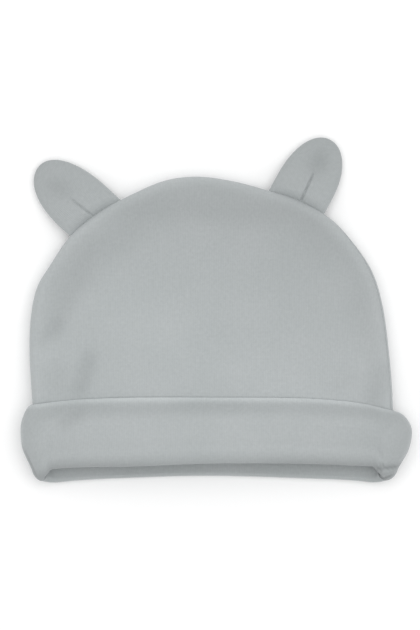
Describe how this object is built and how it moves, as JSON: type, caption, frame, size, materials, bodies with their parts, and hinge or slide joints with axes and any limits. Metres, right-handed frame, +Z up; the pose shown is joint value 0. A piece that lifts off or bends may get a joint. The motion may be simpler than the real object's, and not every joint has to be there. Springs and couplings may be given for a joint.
{
  "type": "baby hat with ears",
  "caption": "Newborn's soft dome-shaped hat lying flat on its back, with a turned-up rolled cuff and two padded ears caught in the crown seam.",
  "frame": {"origin": "on the surface the hat lies on, under the centre of its outline", "axes": "+X to the right across the cuff, +Y from the mouth to the top of the dome, +Z up off the surface, so the front panel faces +Z"},
  "size_m": [0.1799, 0.1588, 0.03],
  "materials": {
    "interlock_crown": "soft matt cotton interlock, pale grey-blue",
    "interlock_cuff": "soft matt cotton interlock, pale grey-blue, turned up",
    "interlock_ear": "soft matt cotton interlock, pale grey-blue, padded"
  },
  "bodies": {
    "root": {"crown_front": "interlock_crown", "crown_back": "interlock_crown", "cuff": "interlock_cuff", "ear_left": "interlock_ear", "ear_right": "interlock_ear"}
  },
  "joints": []
}
